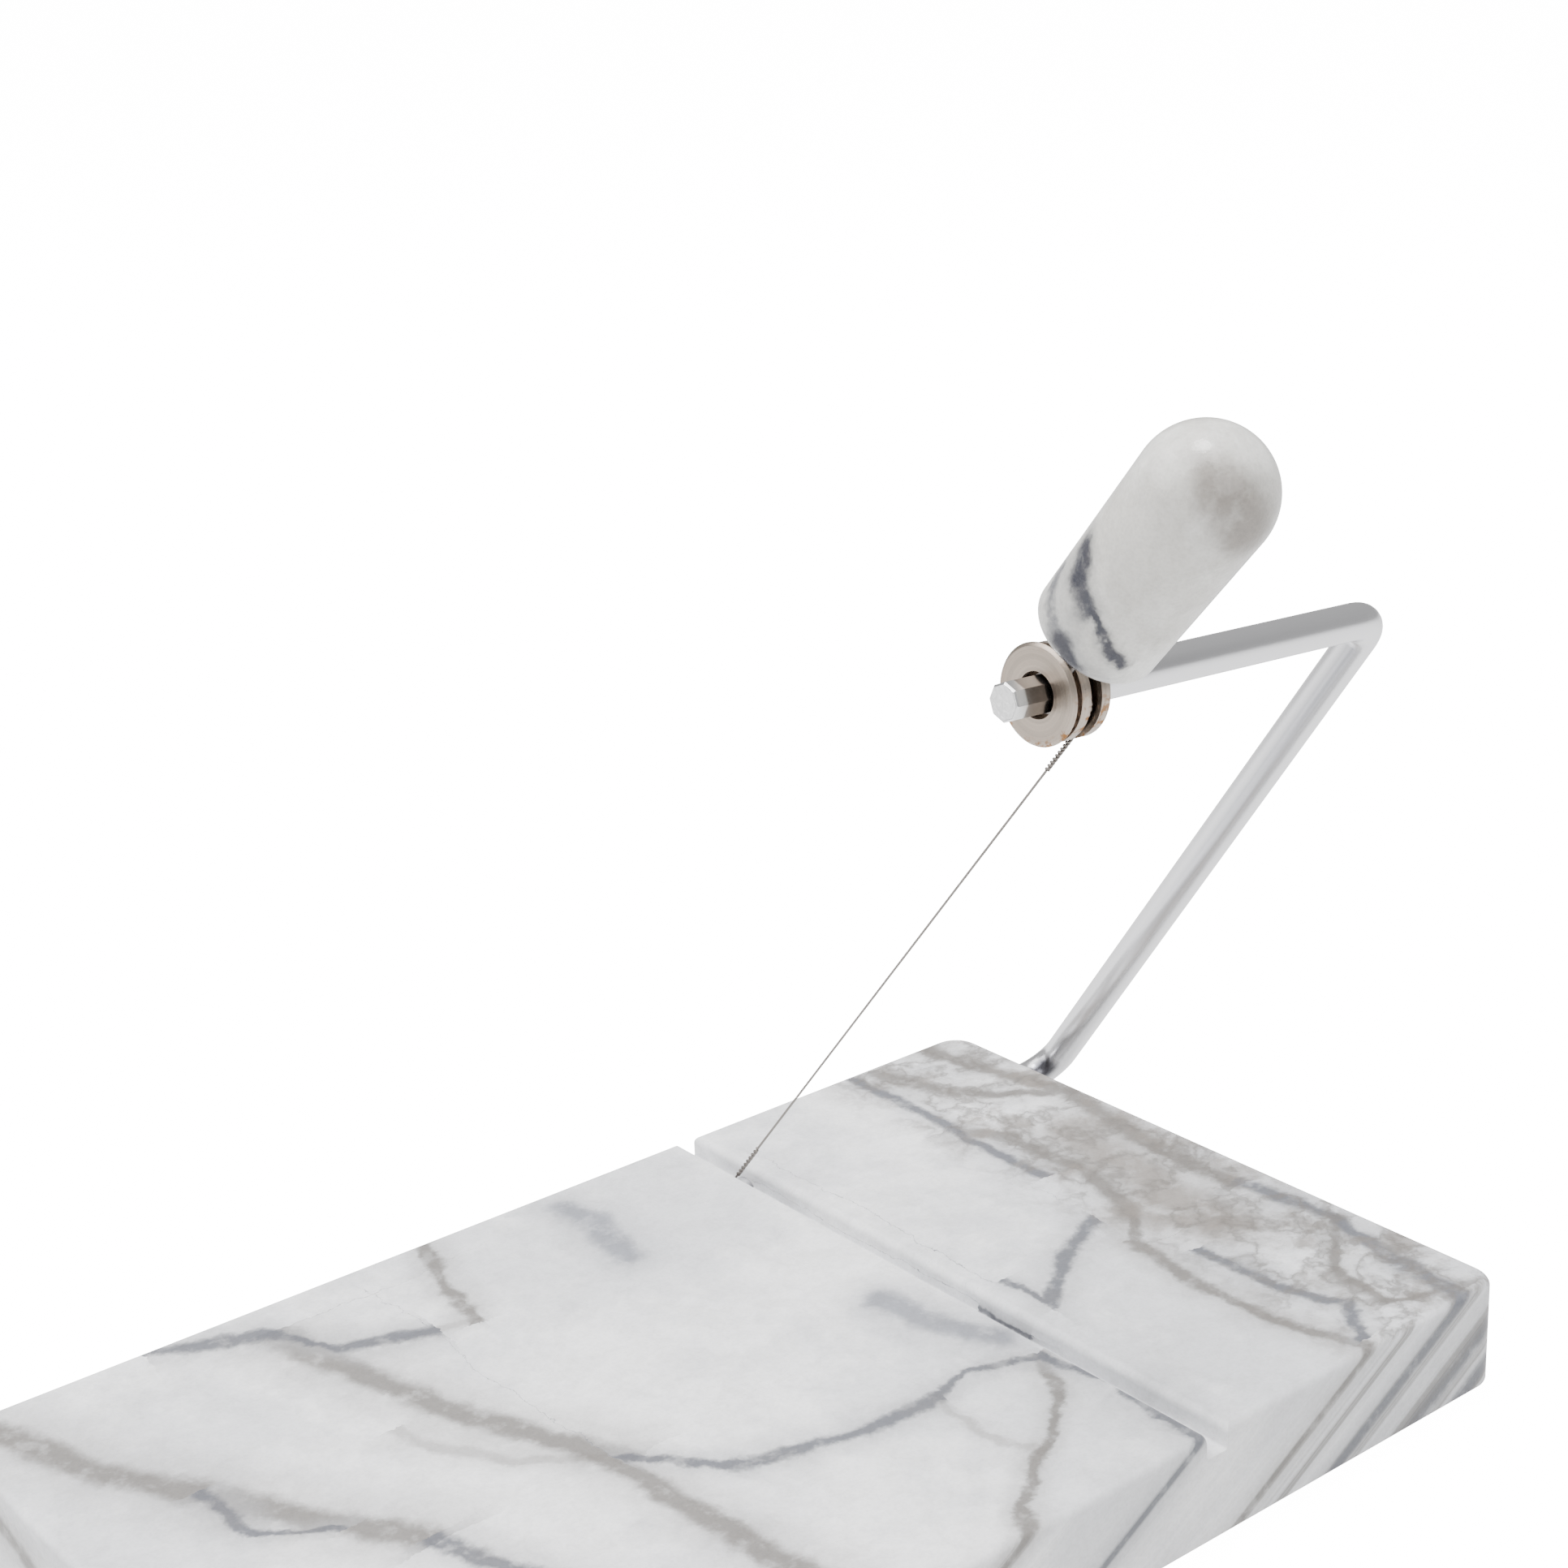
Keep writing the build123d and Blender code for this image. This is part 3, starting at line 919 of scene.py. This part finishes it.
GRIP_VEINS = (
    Vein(((28, -8.6, 5), (24, -9.1, 1.8), (22, -9, -1.5)), 2.6, Tone.INK),
    Vein(((22, -9, -2), (20.5, -7.3, -5.7), (17.5, -4.5, -8.1)), 1.2, Tone.INK),
    Vein(((21, -7, 6), (18, -8.2, 4.5), (15.3, -9.2, -1), (13, -7.2, -5.8)), 2.0, Tone.SLATE),
    Vein(((15, -9, -2), (12.4, -7.2, -5.8)), 2.4, Tone.INK),
    Vein(((50, -8, -4.5), (45, -1.6, -9.2)), 6.0, Tone.EARTH),
    Vein(((12, 6, 7), (26, 8, 5), (38, 3, 9)), 1.2, Tone.SLATE),
    Vein(((30, 9, -2), (44, 6, 6)), 1.4, Tone.TAUPE),
)


class Piece:
    """Helpers for pieces that stand beside the CAD nodes."""

    @staticmethod
    def tube(
            name: str, points: list[Vector], radius: float, body: str,
            finish: bpy.types.Material) -> bpy.types.Object:
        """A round wire through points, as a mesh.

        Args:
            name: The piece's name.
            points: The centre line.
            radius: The wire's radius.
            body: The body that it rides on.
            finish: Its material.

        Returns:
            The piece.
        """
        curve = bpy.data.curves.new(name, "CURVE")
        curve.dimensions = "3D"
        curve.bevel_depth = radius
        curve.bevel_resolution = 3
        curve.use_fill_caps = True
        spline = curve.splines.new("POLY")
        spline.points.add(len(points) - 1)
        for target, point in zip(spline.points, points):
            target.co = (*point, 1.0)
        piece = bpy.data.objects.new(name, curve)
        bpy.context.scene.collection.objects.link(piece)
        mesh = bpy.data.meshes.new_from_object(piece)
        bpy.data.objects.remove(piece)
        for polygon in mesh.polygons:
            polygon.use_smooth = True
        solid = bpy.data.objects.new(name, mesh)
        bpy.context.scene.collection.objects.link(solid)
        mesh.materials.clear()
        mesh.materials.append(finish)
        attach(solid, body)
        return solid


@dataclass
class Bow:
    """The bent rod, its wire and the places that the other parts hang from."""

    joints: dict[str, dict] = field(default_factory=lambda: {one["name"]: one for one in frame["joints"]})

    def groove(self) -> Vector:
        """The centre of the wheel's wire groove."""
        return Vector(self.joints["wheel_turn"]["pos_m"])

    def axis(self) -> Vector:
        """The wheel's axis, from its front face backwards."""
        return Vector(self.joints["wheel_turn"]["axis"]).normalized()

    def tip(self) -> Vector:
        """The centre of the rod's end face."""
        low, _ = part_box("bow_rod")
        return self.groove() + self.axis() * ((low[0] - self.groove().x) / self.axis().x)

    def grip_foot(self) -> Vector:
        """Where the handle's axis meets the rod's."""
        return Vector(self.joints["handle_screw"]["pos_m"])

    def grip_axis(self) -> Vector:
        """The handle's axis, outwards."""
        return Vector(self.joints["handle_screw"]["axis"]).normalized()


@dataclass
class Wire:
    """The wraps of wire in the wheel's groove, and the twisted tail that leaves them.

    Attributes:
        radius: The wire's radius.
        twist: How far a strand lies from the twist's middle.
        pitch: The length of one turn of the twist.
        tail_turn: How far round the wheel the twist goes, in degrees.
        wrap_turn: How far round the parted strands go on, in degrees.
        split: How far each parted strand lies from the groove's middle.
        lift: How far the twist rides above the wrap, in radii of the wire.
        parting: The turn in which the strands part, in degrees.
        steps: How many steps a strand is drawn in.
    """

    radius: float = 0.20 * MM
    twist: float = 0.215 * MM
    pitch: float = 1.6 * MM
    tail_turn: float = 42.0
    wrap_turn: float = 300.0
    split: float = 0.42 * MM
    lift: float = 3.2
    parting: float = 14.0
    steps: int = 420

    def build(self, bow: Bow, finish: bpy.types.Material) -> list[bpy.types.Object]:
        """Make both strands.

        Args:
            bow: The bow, which gives the groove's place.
            finish: The wire's material.

        Returns:
            The two strands.
        """
        centre, axis = bow.groove(), bow.axis()
        low, high = (Vector(one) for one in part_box("wire_loop"))
        loop = (high.y - low.y) / 2 - self.radius
        line = (Vector(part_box("wire_upper_strand_1")[0]) + Vector(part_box("wire_upper_strand_1")[1])) / 2
        along = self.tangent(centre, axis, line, loop + self.lift * self.radius)
        strands = []
        for number in (0, 1):
            points = self.strand(centre, axis, along, loop, number)
            strands.append(Piece.tube(f"groove_wire_{number + 1}", points, self.radius, "bow", finish))
        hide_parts("wire_loop")
        return strands

    def tangent(self, centre: Vector, axis: Vector, line: Vector, reach: float) -> float:
        """The angle round the wheel where the wire's line touches a circle.

        Args:
            centre: The groove's centre.
            axis: The wheel's axis; not used.
            line: A point on the wire's line, below the wheel.
            reach: The circle's radius.

        Returns:
            The angle, from +Y towards +Z.
        """
        offset = line - centre
        distance = math.hypot(offset.y, offset.z)
        return math.atan2(offset.z, offset.y) - math.acos(min(1.0, reach / distance))

    def strand(self, centre: Vector, axis: Vector, start: float, loop: float, number: int) -> list[Vector]:
        """The centre line of one strand: the twist along the groove, the parting, and the wrap.

        Args:
            centre: The groove's centre.
            axis: The wheel's axis.
            start: The angle where the wire's line touches.
            loop: The wrap's radius.
            number: Which strand, 0 or 1.

        Returns:
            The points.
        """
        side = 1.0 if number else -1.0
        points = []
        for step in range(self.steps + 1):
            turn = (self.tail_turn + self.wrap_turn) * step / self.steps
            angle = start - math.radians(turn)
            out = Vector((0.0, math.cos(angle), math.sin(angle)))
            out = (out - axis * out.dot(axis)).normalized()
            twisted = min(1.0, max(0.0, (self.tail_turn - turn) / self.parting + 0.5))
            phase = math.tau * math.radians(turn) * loop / self.pitch + math.pi * number
            height = loop + self.lift * self.radius * twisted
            swing = self.twist * twisted
            parted = self.split * (1.0 - twisted) * side
            away = height + swing * math.cos(phase)
            points.append(centre + out * away + axis * (swing * math.sin(phase) + parted))
        return points


@dataclass
class LockStud:
    """The thread on the part of the stud that shows between the wheel and the handle."""

    pitch: float = 0.7 * MM
    ridge: float = 0.17 * MM
    radius: float = 1.47 * MM
    first: float = 7.6 * MM
    last: float = 11.9 * MM

    def build(self, bow: Bow, finish: bpy.types.Material) -> bpy.types.Object:
        """Make the thread's ridge.

        Args:
            bow: The bow, which gives the handle's axis.
            finish: The stud's material.

        Returns:
            The ridge.
        """
        foot, axis = bow.grip_foot(), bow.grip_axis()
        side = axis.orthogonal().normalized()
        across = axis.cross(side)
        turns = (self.last - self.first) / self.pitch
        steps = int(turns * 24)
        points = []
        for step in range(steps + 1):
            angle = math.tau * turns * step / steps
            rise = self.first + (self.last - self.first) * step / steps
            out = side * math.cos(angle) + across * math.sin(angle)
            points.append(foot + axis * rise + out * self.radius)
        return Piece.tube("stud_thread", points, self.ridge, "grip", finish)


@dataclass
class Dressing:
    """Gives every CAD node its finish."""

    groups: Groups
    bow: Bow

    def materials(self) -> dict[str, bpy.types.Material]:
        """Build every finish.

        Returns:
            The material of each CAD node's family.
        """
        foot, up, back = self.bow.grip_foot(), self.bow.grip_axis(), self.bow.axis()
        _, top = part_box("board")
        low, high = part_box("tension_wheel")
        slab = Marble(
            "slab marble", BOARD_VEINS, Vector((0, 0, top[2])),
            (Vector((1, 0, 0)), Vector((0, 1, 0)), Vector((0, 0, 1))), dip=1.7)
        grip = Marble(
            "grip marble", GRIP_VEINS, foot, (up, back, up.cross(back)), flat=False,
            rough=0.16, net=0.10, net_from=0.0, white=(0.84, 0.84, 0.81), shade=(0.52, 0.50, 0.46))
        return {
            "board": slab.make(self.groups),
            "handle": grip.make(self.groups),
            "foot": PlainFinish("clear rubber", (0.55, 0.54, 0.50), 0.0, 0.45, 0.12, 0.03).make(self.groups),
            "bow_rod": BrightRod(self.bow.tip(), back).make(self.groups),
            "tension_wheel": TurnedNickel(self.bow.groove(), back, (high[1] - low[1]) / 2).make(self.groups),
            "handle_stud": PlainFinish("stud steel", (0.45, 0.44, 0.43), 1.0, 0.35).make(self.groups),
            "handle_epoxy": PlainFinish("epoxy", (0.55, 0.50, 0.40), 0.0, 0.25).make(self.groups),
            "wire": PlainFinish("wire steel", (0.24, 0.22, 0.20), 1.0, 0.38, 0.15).make(self.groups),
        }

    def dress(self) -> dict[str, bpy.types.Material]:
        """Put the finishes on the CAD nodes.

        Returns:
            The material of each family.
        """
        made = self.materials()
        for name, node in frame["nodes"].items():
            family = name if name in made else name.split("_")[0]
            for slot in node.material_slots:
                slot.material = made[family]
            log.info("dressed %s as %s", name, made[family].name)
        return made


@dataclass(frozen=True)
class Softbox:
    """A soft rectangular light.

    Attributes:
        name: The light's name.
        place: Where it stands, from the object's middle.
        size: Its width and height.
        power: Its power in watts.
        tint: Its colour.
    """

    name: str
    place: tuple[float, float, float]
    size: tuple[float, float]
    power: float
    tint: Colour = (1.0, 1.0, 1.0)

    def build(self, target: Vector) -> None:
        """Make the light and point it at the target.

        Args:
            target: What it points at.
        """
        data = bpy.data.lights.new(self.name, "AREA")
        data.shape = "RECTANGLE"
        data.size, data.size_y = self.size
        data.energy = self.power
        data.color = self.tint
        light = bpy.data.objects.new(self.name, data)
        light.location = target + Vector(self.place)
        light.rotation_euler = (target - light.location).to_track_quat("-Z", "Y").to_euler()
        bpy.context.scene.collection.objects.link(light)


@dataclass
class Studio:
    """The floor, the lights and the camera."""

    floor_half: float = 8.0
    floor_seen: float = 15.0
    floor_light: float = 0.45
    floor_grey: float = 0.55
    world_light: float = 0.5
    eye: tuple[float, float, float] = (-0.2201, -0.2977, 0.2387)
    yaw: float = 51.98
    pitch: float = 19.29
    roll: float = -2.49
    lens: float = 63.71
    boxes: tuple[Softbox, ...] = (
        Softbox("overhead", (-0.3, 0.2, 1.5), (1.8, 1.8), 52.0),
        Softbox("left", (-1.4, 0.9, 0.9), (1.2, 1.2), 16.0),
        Softbox("front", (-0.2, -1.6, 0.8), (1.4, 1.0), 14.0),
        Softbox("lamp", (0.0, 0.0, 1.1), (0.35, 0.35), 9.0),
    )

    def build(self) -> None:
        """Set the whole studio up."""
        self.floor()
        self.world()
        low, high = (Vector(one) for one in CAD_BOX)
        for one in self.boxes:
            one.build((low + high) / 2)
        self.camera()

    def floor(self) -> None:
        """The plain pale floor that the feet stand on."""
        low, _ = CAD_BOX
        half = self.floor_half
        mesh = bpy.data.meshes.new("floor")
        corners = [(-half, -half, low[2]), (half, -half, low[2]), (half, half, low[2]), (-half, half, low[2])]
        mesh.from_pydata(corners, [], [(0, 1, 2, 3)])
        floor = bpy.data.objects.new("floor", mesh)
        bpy.context.scene.collection.objects.link(floor)
        material = bpy.data.materials.new("floor white")
        material.use_nodes = True
        shader = material.node_tree.nodes["Principled BSDF"]
        shader.inputs["Base Color"].default_value = (*(self.floor_grey,) * 3, 1.0)
        shader.inputs["Roughness"].default_value = 0.9
        shader.inputs["Emission Color"].default_value = (1.0, 1.0, 1.0, 1.0)
        wires = Wiring(material.node_tree)
        seen = wires.add("ShaderNodeLightPath").outputs["Is Camera Ray"]
        glow = wires.maths("MULTIPLY_ADD", seen, self.floor_seen, self.floor_light)
        wires.feed(shader.inputs["Emission Strength"], glow)
        mesh.materials.append(material)

    def world(self) -> None:
        """An even white surround."""
        world = bpy.data.worlds.new("studio")
        bpy.context.scene.world = world
        world.use_nodes = True
        back = world.node_tree.nodes["Background"]
        back.inputs["Color"].default_value = (1.0, 1.0, 1.0, 1.0)
        back.inputs["Strength"].default_value = self.world_light

    def camera(self) -> None:
        """The camera, from its place and its three angles."""
        yaw, pitch, roll = (math.radians(one) for one in (self.yaw, self.pitch, self.roll))
        ahead = Vector((math.cos(yaw) * math.cos(pitch), math.sin(yaw) * math.cos(pitch), -math.sin(pitch)))
        level = Vector((math.sin(yaw), -math.cos(yaw), 0.0))
        upright = level.cross(ahead)
        right = level * math.cos(roll) + upright * math.sin(roll)
        up = upright * math.cos(roll) - level * math.sin(roll)
        data = bpy.data.cameras.new("camera")
        data.lens = self.lens
        data.sensor_width = 36.0
        data.clip_start = 0.01
        camera = bpy.data.objects.new("camera", data)
        turn = Matrix((right, up, -ahead)).transposed().to_4x4()
        camera.matrix_world = Matrix.Translation(Vector(self.eye)) @ turn
        bpy.context.scene.collection.objects.link(camera)
        bpy.context.scene.camera = camera


def main() -> None:
    """Dress the slicer, add its fine pieces and set up the studio."""
    logging.basicConfig(level=logging.INFO)
    bow = Bow()
    made = Dressing(Groups(), bow).dress()
    for strand in Wire().build(bow, made["wire"]):
        log.info("built %s", strand.name)
    log.info("built %s", LockStud().build(bow, made["handle_stud"]).name)
    Studio().build()


if __name__ == "__main__":
    main()
